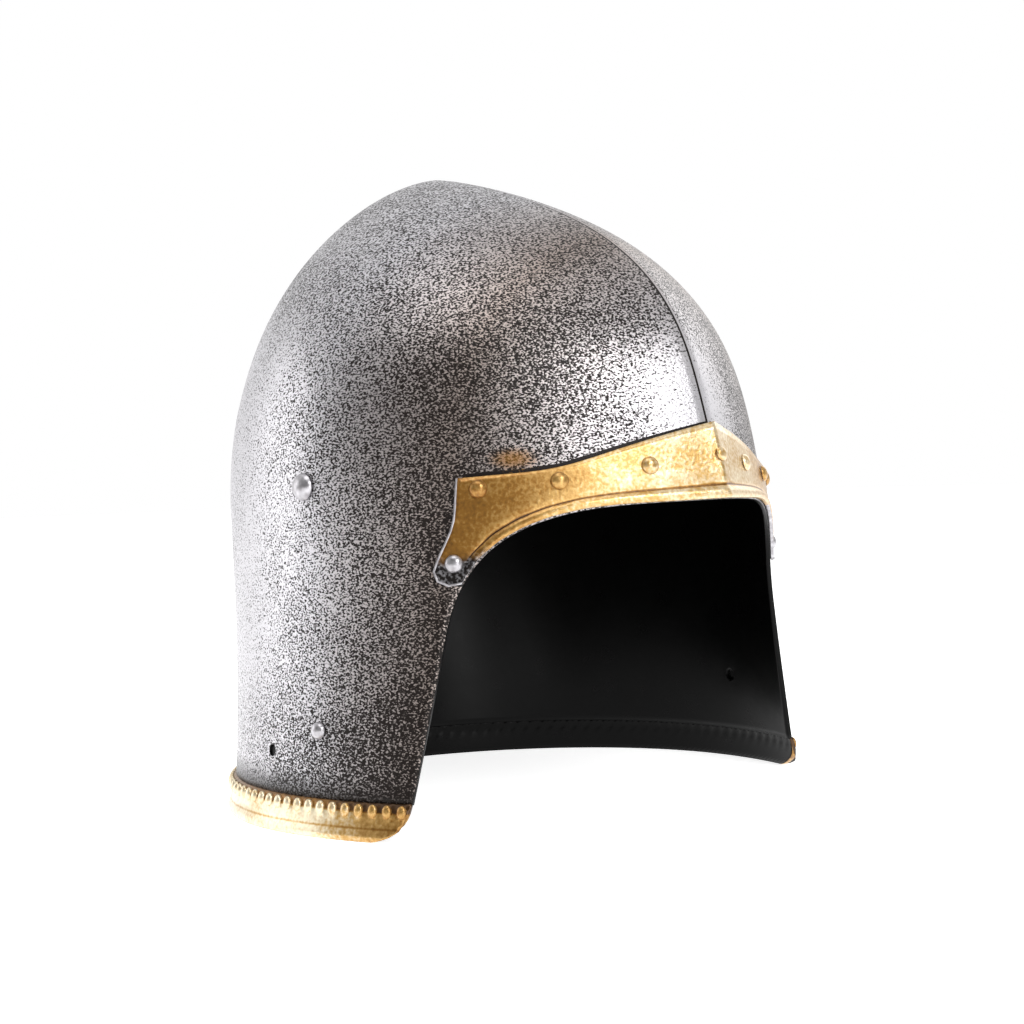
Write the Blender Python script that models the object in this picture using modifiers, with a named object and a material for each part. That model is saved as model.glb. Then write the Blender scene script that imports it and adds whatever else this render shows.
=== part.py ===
"""Open-faced knight's helmet: a keeled skull with a face opening, a raised brow band and a beaded border.

Metres, +Z up. The face opening looks along -Y, the wearer's left is +X, and the rim stands on Z = 0.
"""
import math
from collections import namedtuple

import bmesh
import bpy
import numpy as np
from mathutils import Vector

# Size of the skull
HEIGHT = 0.260
BODY_WIDTH = 0.225
FRONT_REACH = 0.122
BACK_REACH = 0.125
WALL = 0.0016
GAP = 0.0003

# Face opening, seen from the side: the cheek edge, the arch and the brow line
BROW_HEIGHT = 0.120
ARCH_DROP = 0.002
ARCH_SETBACK = 0.0763
ARCH_ROUND = 0.038
CHEEK_HEIGHT = 0.085
CHEEK_SETBACK = 0.0641
CHEEK_ROUND = 0.049
CHEEK_FOOT_SETBACK = 0.0577
RIM_CORNER_ROUND = 0.011

# Brow band
BAND_THICKNESS = 0.0013
BAND_CENTRE_WIDTH = 0.0284
BAND_BEND_WIDTH = 0.0144
BAND_BEND_SETBACK = 0.087
BAND_BEND_ROUND = 0.030
BAND_TIP_ABOVE_CHEEK = 0.0075
BAND_END_WIDTH = 0.0379
BAND_END_SETBACK = 0.0632
BAND_WAIST_SETBACK = 0.0635
BAND_WAIST_ABOVE_TIP = 0.0210
BAND_LOBE_SETBACK = 0.0581
BAND_LOBE_ABOVE_TIP = 0.0035
BAND_LOBE_BOTTOM_SETBACK = 0.0618
BAND_LOBE_BELOW_TIP = 0.0021
BAND_LOBE_ROUND = 0.0055
LIP_WIDTH = 0.0052
LIP_RISE = 0.0009
GROOVE_DEPTH = 0.0006
RIB_WIDTH = 0.0070
RIB_RISE = 0.0004

# Shares of the way from the band's middle to its tip: where the top edge turns down, how far the rib on the
# keel may reach, and how much of its width the lip loses by the tip
BAND_CORNER = 0.72
RIB_LIMIT = 0.3
LIP_TAPER = 0.5
LIP_LIMIT = 0.5

# Lower border
BORDER_HEIGHT = 0.0133
BORDER_STAND_OUT = 0.0016
BORDER_THICKNESS = 0.0018
RIM_LIP_RISE = 0.0013
BEAD_PITCH = 0.0060
BEAD_RISE = 0.0016

# Domed rivets, the hollows behind the ones on the wall, and the marks where a chin cord could be bored
BROW_RIVET_DIAMETER = 0.0070
BROW_RIVET_HEIGHT = 0.0020
CENTRE_RIVET_DIAMETER = 0.0058
CENTRE_RIVET_HEIGHT = 0.0013
SIDE_RIVET_DIAMETER = 0.0110
SIDE_RIVET_HEIGHT = 0.0030
CHEEK_RIVET_DIAMETER = 0.0070
CHEEK_RIVET_HEIGHT = 0.0024
RIVET_HOLLOW_MARGIN = 0.0012
CORD_MARK_DIAMETER = 0.0046
POCKET_DEPTH = 0.0008

# Mesh fineness
SHELL_COLUMNS = 22
SHELL_ROWS_OPENING = 15
SHELL_ROWS_KEEL = 13
BAND_COLUMNS_TOP = 14
BAND_COLUMNS_END = 12
BEAD_COLUMNS = 2
RIVET_SIDES = 12
RIVET_RINGS = 3
POCKET_SIDES = 16
ARC_STEPS = 6
OPENING_STEPS = 280
LEVEL_STEPS = 2000
BORDER_STEPS = 400

# Horizontal sections of the skull's outer face, rim to apex. Each is a pointed arch ahead of its widest
# line and a half ellipse behind it. height is a share of HEIGHT, half_width of half BODY_WIDTH, front of
# FRONT_REACH, back and axis (how far the widest line has moved back) of BACK_REACH. keel is how far each
# side's arc is struck past the middle plane, in half widths: more of it makes a sharper keel.
Section = namedtuple("Section", "height half_width front back axis keel")
SECTIONS = [
    Section(0.000, 1.083, 1.360, 0.894, 0.000, 2.20),
    Section(0.077, 1.060, 1.266, 0.908, 0.000, 2.20),
    Section(0.192, 1.031, 1.152, 0.934, 0.000, 2.20),
    Section(0.308, 1.009, 1.068, 0.967, 0.000, 2.20),
    Section(0.423, 1.001, 1.002, 0.995, 0.000, 2.20),
    Section(0.519, 0.994, 0.950, 1.000, 0.000, 2.20),
    Section(0.604, 0.973, 0.911, 0.950, 0.010, 1.92),
    Section(0.654, 0.945, 0.894, 0.896, 0.025, 1.70),
    Section(0.712, 0.894, 0.871, 0.814, 0.052, 1.47),
    Section(0.769, 0.819, 0.826, 0.714, 0.089, 1.24),
    Section(0.827, 0.711, 0.744, 0.595, 0.135, 1.00),
    Section(0.885, 0.564, 0.606, 0.454, 0.192, 0.76),
    Section(0.923, 0.439, 0.466, 0.342, 0.235, 0.61),
    Section(0.954, 0.314, 0.321, 0.238, 0.273, 0.48),
    Section(0.977, 0.195, 0.185, 0.146, 0.302, 0.39),
    Section(0.992, 0.089, 0.075, 0.066, 0.324, 0.32),
    Section(1.000, 0.000, 0.000, 0.000, 0.336, 0.28),
]

# Brow band's cross-section: up its outer face from the opening's edge, then down its inner one. A row in
# the lip lies at a share of the lip's width, one in the face at a share of the width that is left. lip and
# groove scale the two reliefs, and depth 1 is the inner face.
BandRow = namedtuple("BandRow", "part share lip groove depth")
BAND_ROWS = [
    BandRow("lip", 0.00, 0.30, 0.0, 0.0),
    BandRow("lip", 0.30, 1.00, 0.0, 0.0),
    BandRow("lip", 0.72, 0.70, 0.0, 0.0),
    BandRow("lip", 1.00, 0.00, 1.0, 0.0),
    BandRow("face", 0.08, 0.00, 0.0, 0.0),
    BandRow("face", 0.50, 0.00, 0.0, 0.0),
    BandRow("face", 1.00, 0.00, 0.0, 0.0),
    BandRow("face", 1.00, 0.00, 0.0, 1.0),
    BandRow("face", 0.50, 0.00, 0.0, 1.0),
    BandRow("lip", 1.00, 0.00, 0.0, 1.0),
    BandRow("lip", 0.00, 0.00, 0.0, 1.0),
]

# Lower border's cross-section: up its outer face and down its inner one. height is a share of the border's
# height; stand_out, lip and bead scale the three reliefs, and depth is a share of the border's thickness.
BorderRow = namedtuple("BorderRow", "height stand_out lip bead depth")
BORDER_ROWS = [
    BorderRow(0.00, 0.90, 0.20, 0.0, 0.0),
    BorderRow(0.16, 1.00, 1.00, 0.0, 0.0),
    BorderRow(0.34, 1.00, 0.00, 0.0, 0.0),
    BorderRow(0.64, 0.90, 0.00, 0.0, 0.0),
    BorderRow(0.84, 0.60, 0.00, 1.0, 0.0),
    BorderRow(1.00, 0.30, 0.00, 0.0, 0.0),
    BorderRow(1.00, 0.30, 0.00, 0.0, 1.0),
    BorderRow(0.84, 0.60, 0.00, 0.8, 1.0),
    BorderRow(0.64, 0.90, 0.00, 0.0, 1.0),
    BorderRow(0.34, 1.00, 0.00, 0.0, 1.0),
    BorderRow(0.00, 0.90, 0.20, 0.0, 1.0),
]

# Rivets on the band: along runs from the keel to the band's tip, across from the opening edge to the top.
BandRivet = namedtuple("BandRivet", "name along across")
BAND_RIVETS = [
    BandRivet("inner", 0.17, 0.60),
    BandRivet("middle", 0.42, 0.70),
    BandRivet("outer", 0.675, 0.79),
    BandRivet("end", 0.905, 0.53),
]
CENTRE_RIVET_ACROSS = 0.57

# Rivets on the bare side wall: turn runs from the keel (0) past the ear (0.5) to the back (1).
SideRivet = namedtuple("SideRivet", "name turn height diameter rise")
SIDE_RIVETS = [
    SideRivet("side_rivet", 0.473, 0.497, SIDE_RIVET_DIAMETER, SIDE_RIVET_HEIGHT),
    SideRivet("cheek_rivet", 0.447, 0.148, CHEEK_RIVET_DIAMETER, CHEEK_RIVET_HEIGHT),
]
CORD_MARK_TURN = 0.529
CORD_MARK_LEVEL = 0.112

SIDES = (("left", 1), ("right", -1))

# How near the middle plane a point counts as on it, the step for the wall's slope, and how much of a straight
# line beside a corner its rounding may use
MIDDLE_TOLERANCE = 1e-5
SLOPE_STEP = 1e-4
WELD_DISTANCE = 1e-6
MIRROR_WELD = 0.00005
FILLET_ROOM = 0.72


def section_knots():
    """Length along the side outline up to each section, as a share of the whole."""
    outline = [(s.half_width * BODY_WIDTH / 2, s.height * HEIGHT) for s in SECTIONS]
    steps = [math.dist(a, b) for a, b in zip(outline, outline[1:])]
    return np.concatenate([[0.0], np.cumsum(steps)]) / sum(steps)


KNOTS = section_knots()
TABLE = np.array(SECTIONS) * (HEIGHT, BODY_WIDTH / 2, FRONT_REACH, BACK_REACH, BACK_REACH, 1.0)
SLOPES = np.gradient(TABLE, KNOTS, axis=0)


def section_at(up):
    """The section at a share of the way up, read from the table as a smooth curve."""
    i = min(int(np.searchsorted(KNOTS, up, side="right")) - 1, len(KNOTS) - 2)
    span = KNOTS[i + 1] - KNOTS[i]
    f = (up - KNOTS[i]) / span
    blend = f * f * (3 - 2 * f)
    values = (
        TABLE[i] * (1 - blend)
        + TABLE[i + 1] * blend
        + SLOPES[i] * span * f * (1 - f) ** 2
        - SLOPES[i + 1] * span * (1 - f) * f ** 2
    )
    return Section(*values)


LEVELS = np.linspace(0.0, 1.0, LEVEL_STEPS + 1)
LEVEL_HEIGHTS = np.array([section_at(up).height for up in LEVELS])


def up_at(height):
    """How far up the skull a height lies."""
    return float(np.interp(height, LEVEL_HEIGHTS, LEVELS))


def arch_span(section):
    """Angle that each side's arc covers from the widest line to the keel, and the arc's depth."""
    full = math.acos(section.keel / (1 + section.keel))
    return full, section.front / math.sin(full)


def plan_point(section, turn):
    """A point of one section, from the keel (turn 0) past the side (0.5) to the back (1)."""
    if turn < 0.5:
        full, depth = arch_span(section)
        angle = full * (1 - 2 * turn)
        struck = section.keel * section.half_width
        x = (section.half_width + struck) * math.cos(angle) - struck
        y = section.axis - depth * math.sin(angle)
    else:
        angle = math.pi * (turn - 0.5)
        x = section.half_width * math.cos(angle)
        y = section.axis + section.back * math.sin(angle)
    return Vector((max(x, 0.0), y, section.height))


def turn_at(up, setback):
    """The turn at which a section's front half lies a given distance ahead of the widest line."""
    section = section_at(up)
    full, depth = arch_span(section)
    reach = min((setback + section.axis) / depth, math.sin(full))
    return 0.5 * (1 - math.asin(reach) / full)


def wall_normal(turn, up):
    """Outward normal of the skull's outer face; on the middle plane it is the mitre of both sides."""
    t = min(max(turn, SLOPE_STEP), 1 - SLOPE_STEP)
    u = min(max(up, SLOPE_STEP), 1 - SLOPE_STEP)
    around = plan_point(section_at(u), t + SLOPE_STEP) - plan_point(section_at(u), t - SLOPE_STEP)
    upward = plan_point(section_at(u + SLOPE_STEP), t) - plan_point(section_at(u - SLOPE_STEP), t)
    normal = around.cross(upward).normalized()
    if on_middle(turn):
        normal.x = 0
        normal /= normal.length_squared
    return normal


def on_middle(turn):
    """Whether a turn lies on the middle plane, at the keel or at the back."""
    return min(turn, 1 - turn) < MIDDLE_TOLERANCE


def wall_point(turn, up, offset=0.0):
    """A point on or off the skull's outer face."""
    point = plan_point(section_at(up), turn)
    if offset:
        point += wall_normal(turn, up) * offset
    if on_middle(turn):
        point.x = 0
    return point


def rounded_path(corners, rounds):
    """A run of straight lines whose inner corners are rounded, as far as the lines beside them have room."""
    path = [Vector(corners[0])]
    for before, corner, after, radius in zip(corners, corners[1:], corners[2:], rounds):
        corner = Vector(corner)
        back = Vector(before) - corner
        onward = Vector(after) - corner
        half = back.angle(onward) / 2
        tangent = min(radius / math.tan(half), FILLET_ROOM * min(back.length, onward.length))
        back.normalize()
        onward.normalize()
        centre = corner + (back + onward).normalized() * (tangent / math.cos(half))
        start = corner + back * tangent - centre
        end = corner + onward * tangent - centre
        for i in range(ARC_STEPS + 1):
            spoke = start.normalized().slerp(end.normalized(), i / ARC_STEPS)
            path.append(centre + spoke * start.length)
    path.append(Vector(corners[-1]))
    return path


def along_path(path, share):
    """The point at a share of a path's length."""
    steps = [(b - a).length for a, b in zip(path, path[1:])]
    lengths = np.concatenate([[0.0], np.cumsum(steps)]) / sum(steps)
    return [float(np.interp(share, lengths, [p[axis] for p in path])) for axis in (0, 1)]


def keel_setback(height):
    """How far the keel line lies ahead of the frame's widest line at a height."""
    return -plan_point(section_at(up_at(height)), 0.0).y


def opening_path():
    """Side view of the opening's edge as (setback, height), from the brow's middle down to the rim."""
    return rounded_path(
        [
            (keel_setback(BROW_HEIGHT), BROW_HEIGHT),
            (ARCH_SETBACK, BROW_HEIGHT - ARCH_DROP),
            (CHEEK_SETBACK, CHEEK_HEIGHT),
            (CHEEK_FOOT_SETBACK, 0.0),
        ],
        [ARCH_ROUND, CHEEK_ROUND],
    )


OPENING = opening_path()


def opening_point(share):
    """Turn and up of a point of the opening's edge."""
    setback, height = along_path(OPENING, share)
    up = up_at(height)
    return turn_at(up, setback), up


def cheek_share(height):
    """Share of the opening's edge at which the cheek passes a height."""
    shares = np.linspace(1.0, 0.0, OPENING_STEPS + 1)
    heights = [along_path(OPENING, share)[1] for share in shares]
    return float(np.interp(height, heights, shares))


def grid_mesh(name, columns, rows, place, capped=False):
    """A grid of quads whose corners are placed by a function of their column and row."""
    mesh = bpy.data.meshes.new(name)
    bm = bmesh.new()
    bmesh.ops.create_grid(bm, x_segments=columns, y_segments=rows, size=1.0)
    for vert in bm.verts:
        column = round((vert.co.x + 1) / 2 * columns)
        row = round((vert.co.y + 1) / 2 * rows)
        vert.co = place(column, row)
    bmesh.ops.remove_doubles(bm, verts=bm.verts, dist=WELD_DISTANCE)
    if capped:
        ends = [edge for edge in bm.edges if edge.is_boundary and abs(edge.verts[0].co.x) > MIDDLE_TOLERANCE]
        bmesh.ops.holes_fill(bm, edges=ends, sides=0)
    bm.to_mesh(mesh)
    bm.free()
    return mesh


def add_object(name, mesh, collection, material=None):
    """An object in a collection, shaded smooth away from its sharp edges."""
    obj = bpy.data.objects.new(name, mesh)
    collection.objects.link(obj)
    if material:
        mesh.materials.clear()
        mesh.materials.append(material)
        mesh.shade_smooth()
    return obj


def add_mirror(obj):
    """The other half, joined at the middle plane."""
    mirror = obj.modifiers.new("other_half", "MIRROR")
    mirror.use_axis = (True, False, False)
    mirror.use_clip = True
    mirror.merge_threshold = MIRROR_WELD


def add_wall(obj, thickness):
    """A wall inwards from the modelled outer face."""
    wall = obj.modifiers.new("wall", "SOLIDIFY")
    wall.thickness = thickness
    wall.offset = -1.0
    wall.use_even_offset = True
    wall.use_quality_normals = True


def principled(name, colour, metallic, roughness):
    """A plain Principled material."""
    material = bpy.data.materials.new(name)
    material.use_nodes = True
    shader = material.node_tree.nodes["Principled BSDF"]
    shader.inputs["Base Color"].default_value = (*colour, 1.0)
    shader.inputs["Metallic"].default_value = metallic
    shader.inputs["Roughness"].default_value = roughness
    material.diffuse_color = (*colour, 1.0)
    return material


def shell_front(row):
    """Front end of a row of the shell: up the opening's edge, then up the keel to the apex."""
    foot = cheek_share(BORDER_HEIGHT + GAP)
    if row <= SHELL_ROWS_OPENING:
        return opening_point(foot * (1 - row / SHELL_ROWS_OPENING))
    brow_up = up_at(BROW_HEIGHT)
    share = (row - SHELL_ROWS_OPENING) / SHELL_ROWS_KEEL
    return 0.0, brow_up + (1 - brow_up) * share


def shell_place(column, row):
    """A corner of the shell's half: its rows fan from the front ends to even steps up the back."""
    rows = SHELL_ROWS_OPENING + SHELL_ROWS_KEEL
    front_turn, front_up = shell_front(row)
    foot_up = up_at(BORDER_HEIGHT + GAP)
    back_up = foot_up + (1 - foot_up) * row / rows
    share = column / SHELL_COLUMNS
    ease = share * share * (3 - 2 * share)
    return wall_point(front_turn + (1 - front_turn) * share, front_up + (back_up - front_up) * ease)


def build_shell(collection, cutters, material):
    """The skull: dome, keel, cheeks and neck in one wall, open at the face and below."""
    mesh = grid_mesh("skull_shell", SHELL_COLUMNS, SHELL_ROWS_OPENING + SHELL_ROWS_KEEL, shell_place)
    shell = add_object("skull_shell", mesh, collection, material)
    add_mirror(shell)
    add_wall(shell, WALL)
    cut_pockets(shell, cutters, "cord_mark", CORD_MARK_TURN, CORD_MARK_LEVEL, CORD_MARK_DIAMETER, 0.0)
    for spec in SIDE_RIVETS:
        diameter = spec.diameter - 2 * RIVET_HOLLOW_MARGIN
        cut_pockets(shell, cutters, spec.name + "_hollow", spec.turn, spec.height, diameter, -WALL)
    return shell


def cut_pockets(shell, cutters, name, turn, level, diameter, face):
    """A shallow round pocket on each side, in the shell's outer face (offset 0) or its inner one (-WALL)."""
    for side, sign in SIDES:
        mesh = bpy.data.meshes.new(name + "_" + side)
        bm = bmesh.new()
        bmesh.ops.create_cone(
            bm, cap_ends=True, segments=POCKET_SIDES, radius1=diameter / 2, radius2=diameter / 2,
            depth=2 * POCKET_DEPTH,
        )
        bm.to_mesh(mesh)
        bm.free()
        cutter = add_object(name + "_" + side, mesh, cutters)
        stand_on_wall(cutter, turn, up_at(level * HEIGHT), sign, face)
        cutter.hide_render = True
        cutter.display_type = "WIRE"
        cut = shell.modifiers.new(name + "_" + side, "BOOLEAN")
        cut.operation = "DIFFERENCE"
        cut.object = cutter


def stand_on_wall(obj, turn, up, sign, offset):
    """Place an object on the wall with its own Z along the wall's normal."""
    mirror = Vector((sign, 1, 1))
    normal = wall_normal(turn, up).normalized() * mirror
    obj.location = wall_point(turn, up) * mirror + normal * offset
    obj.rotation_euler = normal.to_track_quat("Z", "Y").to_euler()


def band_top_path():
    """Side view of the band's top line, from the keel to the top of its end."""
    return rounded_path(
        [
            (keel_setback(BROW_HEIGHT + BAND_CENTRE_WIDTH), BROW_HEIGHT + BAND_CENTRE_WIDTH),
            (BAND_BEND_SETBACK, BROW_HEIGHT - ARCH_DROP + BAND_BEND_WIDTH),
            (BAND_END_SETBACK, TIP_HEIGHT + BAND_END_WIDTH),
        ],
        [BAND_BEND_ROUND],
    )


def band_end_path():
    """Side view of the band's back edge, from its top corner down round the tip to the opening's edge."""
    return rounded_path(
        [
            (BAND_END_SETBACK, TIP_HEIGHT + BAND_END_WIDTH),
            (BAND_WAIST_SETBACK, TIP_HEIGHT + BAND_WAIST_ABOVE_TIP),
            (BAND_LOBE_SETBACK, TIP_HEIGHT + BAND_LOBE_ABOVE_TIP),
            (BAND_LOBE_BOTTOM_SETBACK, TIP_HEIGHT - BAND_LOBE_BELOW_TIP),
            along_path(OPENING, TIP_SHARE),
        ],
        [BAND_BEND_ROUND, BAND_LOBE_ROUND, BAND_LOBE_ROUND],
    )


TIP_HEIGHT = CHEEK_HEIGHT + BAND_TIP_ABOVE_CHEEK
TIP_SHARE = cheek_share(TIP_HEIGHT)
BAND_TOP = band_top_path()
BAND_END = band_end_path()


def band_outline(along):
    """Turn and up of the band's lower and upper edge at a share of the way from the keel to the tip."""
    lower = opening_point(TIP_SHARE * along)
    if along <= BAND_CORNER:
        setback, height = along_path(BAND_TOP, along / BAND_CORNER)
    else:
        setback, height = along_path(BAND_END, (along - BAND_CORNER) / (1 - BAND_CORNER))
    up = up_at(height)
    return lower, (turn_at(up, setback), up)


def band_across(along, across, offset):
    """A point of the band between its lower and upper edge."""
    lower, upper = band_outline(along)
    turn = lower[0] + (upper[0] - lower[0]) * across
    up = lower[1] + (upper[1] - lower[1]) * across
    return turn, up, wall_point(turn, up, offset)


def band_row_share(row, along):
    """Share of the band's width at which one of its rows lies."""
    lower, upper = band_outline(along)
    width = max((wall_point(*upper) - wall_point(*lower)).length, WELD_DISTANCE)
    lip = min(LIP_WIDTH * (1 - LIP_TAPER * along) / width, LIP_LIMIT)
    return lip * row.share if row.part == "lip" else lip + (1 - lip) * row.share


def rib_along():
    """Share of the way from the keel to the tip at which the rib on the keel ends."""
    shares = np.linspace(0.0, RIB_LIMIT, 61)
    reach = [band_across(share, 0.5, 0.0)[2].x for share in shares]
    return float(np.interp(RIB_WIDTH / 2, reach, shares))


RIB_ALONG = rib_along()


def band_along(column):
    """Share of the way from the keel to the tip at which a column of the band lies."""
    if column == 0:
        return 0.0
    if column <= BAND_COLUMNS_TOP:
        return RIB_ALONG + (BAND_CORNER - RIB_ALONG) * (column - 1) / (BAND_COLUMNS_TOP - 1)
    return BAND_CORNER + (1 - BAND_CORNER) * (column - BAND_COLUMNS_TOP) / BAND_COLUMNS_END


def band_place(column, row_index):
    """A corner of the band's half: out to the lip, over the face and back along the inner side."""
    along = band_along(column)
    row = BAND_ROWS[row_index % len(BAND_ROWS)]
    fade = 1 - along ** 4
    relief = (LIP_RISE * row.lip - GROOVE_DEPTH * row.groove) * fade
    if column == 0 and row.part == "face" and row.depth == 0:
        relief += RIB_RISE
    offset = GAP + BAND_THICKNESS * (1 - row.depth) + relief
    return band_across(along, band_row_share(row, along), offset)[2]


def build_band(collection, material):
    """The raised band over the brow, with its lip, its groove, its keel rib and its rounded ends."""
    mesh = grid_mesh("brow_band", BAND_COLUMNS_TOP + BAND_COLUMNS_END, len(BAND_ROWS), band_place)
    band = add_object("brow_band", mesh, collection, material)
    add_mirror(band)
    return band


def border_front_turn(height):
    """Turn of the border's front end at a height: the cheek's line, rounded into the rim."""
    setback = along_path(OPENING, cheek_share(height))[0]
    below = max(0.0, RIM_CORNER_ROUND - height)
    setback -= RIM_CORNER_ROUND - math.sqrt(RIM_CORNER_ROUND ** 2 - below ** 2)
    return turn_at(up_at(height), setback)


def border_columns():
    """Turns of the border's columns on one side, in even steps of the wall from front to back."""
    up = up_at(BORDER_HEIGHT)
    start = border_front_turn(BORDER_HEIGHT)
    turns = np.linspace(start, 1.0, BORDER_STEPS)
    points = [wall_point(turn, up) for turn in turns]
    lengths = np.concatenate([[0.0], np.cumsum([(b - a).length for a, b in zip(points, points[1:])])])
    count = round(lengths[-1] / BEAD_PITCH) * BEAD_COLUMNS
    return np.interp(np.linspace(0.0, lengths[-1], count + 1), lengths, turns)


BORDER_TURNS = border_columns()


def border_place(column, row_index):
    """A corner of the border's half, beads standing on every other column."""
    row = BORDER_ROWS[row_index % len(BORDER_ROWS)]
    height = row.height * BORDER_HEIGHT
    top_start = BORDER_TURNS[0]
    share = (BORDER_TURNS[column] - top_start) / (1 - top_start)
    start = border_front_turn(height)
    turn = start + (1 - start) * share
    bead = BEAD_RISE * row.bead if column % BEAD_COLUMNS else 0.0
    offset = BORDER_STAND_OUT * row.stand_out + RIM_LIP_RISE * row.lip + bead
    point = wall_point(turn, up_at(height), offset - BORDER_THICKNESS * row.depth)
    point.z = height
    return point


def build_border(collection, material):
    """The border round the cheeks and the neck: a rolled rim lip, a plain strip and a row of beads."""
    mesh = grid_mesh("lower_border", len(BORDER_TURNS) - 1, len(BORDER_ROWS), border_place, capped=True)
    border = add_object("lower_border", mesh, collection, material)
    add_mirror(border)
    return border


def rivet_mesh(name, diameter, rise):
    """A domed rivet head on a flat base."""
    mesh = bpy.data.meshes.new(name)
    bm = bmesh.new()
    bmesh.ops.create_uvsphere(bm, u_segments=RIVET_SIDES, v_segments=RIVET_RINGS * 2, radius=1.0)
    whole = bm.verts[:] + bm.edges[:] + bm.faces[:]
    bmesh.ops.bisect_plane(bm, geom=whole, plane_co=(0, 0, 0), plane_no=(0, 0, 1), clear_inner=True)
    bmesh.ops.holes_fill(bm, edges=[edge for edge in bm.edges if edge.is_boundary], sides=0)
    bmesh.ops.scale(bm, vec=(diameter / 2, diameter / 2, rise), verts=bm.verts)
    bm.to_mesh(mesh)
    bm.free()
    return mesh


def build_rivets(collection, gold, silver):
    """Rivets on the band's middle and in pairs beside it, and two on each bare side."""
    brow_mesh = rivet_mesh("brow_rivet", BROW_RIVET_DIAMETER, BROW_RIVET_HEIGHT)
    stand = 2 * GAP + BAND_THICKNESS
    centre_mesh = rivet_mesh("brow_rivet_centre", CENTRE_RIVET_DIAMETER, CENTRE_RIVET_HEIGHT)
    centre = add_object("brow_rivet_centre", centre_mesh, collection, gold)
    turn, up, _ = band_across(0.0, CENTRE_RIVET_ACROSS, 0.0)
    stand_on_wall(centre, turn, up, 1, stand + RIB_RISE)
    for spec in BAND_RIVETS:
        turn, up, _ = band_across(spec.along, spec.across, 0.0)
        for side, sign in SIDES:
            rivet = add_object("brow_rivet_" + spec.name + "_" + side, brow_mesh, collection, gold)
            stand_on_wall(rivet, turn, up, sign, stand)
    for spec in SIDE_RIVETS:
        side_mesh = rivet_mesh(spec.name, spec.diameter, spec.rise)
        for side, sign in SIDES:
            rivet = add_object(spec.name + "_" + side, side_mesh, collection, silver)
            stand_on_wall(rivet, spec.turn, up_at(spec.height * HEIGHT), sign, GAP)


def centre_over_origin(collection):
    """Move the parts together along Y until their box is centred over the origin."""
    bpy.context.view_layer.update()
    graph = bpy.context.evaluated_depsgraph_get()
    reach = []
    for obj in collection.objects:
        shape = obj.evaluated_get(graph)
        reach += [(shape.matrix_world @ Vector(corner)).y for corner in shape.bound_box]
    stand = bpy.data.objects.new("helmet", None)
    collection.objects.link(stand)
    for obj in collection.objects:
        if obj is not stand:
            obj.parent = stand
    stand.location.y = -(min(reach) + max(reach)) / 2
    return stand


def build_scene():
    """All parts of the helmet, centred over the origin."""
    for obj in list(bpy.data.objects):
        bpy.data.objects.remove(obj)
    helmet = bpy.data.collections.new("knight_helmet")
    cutters = bpy.data.collections.new("cutters")
    bpy.context.scene.collection.children.link(helmet)
    bpy.context.scene.collection.children.link(cutters)
    silver = principled("hammered_silver_plastic", (0.42, 0.42, 0.43), 0.6, 0.35)
    gold = principled("antique_gold_paint", (0.72, 0.50, 0.18), 0.7, 0.35)
    build_shell(helmet, cutters, silver)
    build_band(helmet, gold)
    build_border(helmet, gold)
    build_rivets(helmet, gold, silver)
    stand = centre_over_origin(helmet)
    for cutter in cutters.objects:
        cutter.parent = stand


build_scene()
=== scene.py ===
"""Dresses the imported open-faced knight's helmet: painted plastic skull, gold brow band and beaded border."""
import math

import bmesh
import bpy
from mathutils import Matrix, Vector


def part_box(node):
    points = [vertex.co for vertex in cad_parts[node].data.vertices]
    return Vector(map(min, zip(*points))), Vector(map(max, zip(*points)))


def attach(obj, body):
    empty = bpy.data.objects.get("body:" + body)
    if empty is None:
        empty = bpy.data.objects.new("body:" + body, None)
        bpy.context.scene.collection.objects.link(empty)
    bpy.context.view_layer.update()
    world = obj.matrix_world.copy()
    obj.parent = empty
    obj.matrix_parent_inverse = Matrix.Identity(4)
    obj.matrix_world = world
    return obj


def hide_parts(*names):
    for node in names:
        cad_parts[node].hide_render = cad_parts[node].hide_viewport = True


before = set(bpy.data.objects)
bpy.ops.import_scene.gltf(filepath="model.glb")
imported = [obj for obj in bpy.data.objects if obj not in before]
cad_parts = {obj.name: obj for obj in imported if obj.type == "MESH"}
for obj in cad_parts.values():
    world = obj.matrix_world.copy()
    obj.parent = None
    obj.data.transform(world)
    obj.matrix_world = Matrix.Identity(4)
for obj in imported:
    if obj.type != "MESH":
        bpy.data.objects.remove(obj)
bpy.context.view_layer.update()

bl_info = {
    "name": "Open-faced knight's helmet",
    "version": (1, 0, 0),
    "blender": (4, 5, 0),
    "location": "View3D > Sidebar > Helmet",
    "description": "Paints and finishes a moulded knight's helmet round its packed solids",
    "category": "Object",
}

BODY = "root"
MM = 0.001
WHOLE = (0.0, 1.0)
SHELL_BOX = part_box("skull_shell")
BORDER_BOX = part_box("lower_border")
BROW_RIVETS = [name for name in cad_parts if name.startswith("brow_rivet")]
SIDE_RIVETS = [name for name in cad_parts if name.startswith(("side_rivet", "cheek_rivet"))]

# Zones of the solids, in metres: y runs from the face to the back, z from the rim to the crown
# The band's end lies behind this y and under this z
BAND_END_ZONE = (-68.5 * MM, 130.2 * MM)
BAND_FOOT_Y = 1.3 * BAND_END_ZONE[0]

# The band's top line seen from the side, from the keel to its end: y and z in millimetres
BAND_TOP_LINE = [(-114.6, 148.4), (-95.1, 136.9), (-88.6, 133.4), (-80.7, 131.8), (-64.8, 130.4)]

# Part of the side wall that holds only the cord mark: its reach in y and in z
MARK_ZONE = ((-5.0 * MM, 25.0 * MM), (22.0 * MM, 36.0 * MM))

# The dome turns its faces upwards above this height
DOME_START = 150.0 * MM

# Heights on the border, as shares of its own
BEAD_ROW_SHARE = 0.84
GAP_SHARE = BEAD_ROW_SHARE - 0.05
GROOVE_SHARES = (0.3, 0.4)

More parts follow.
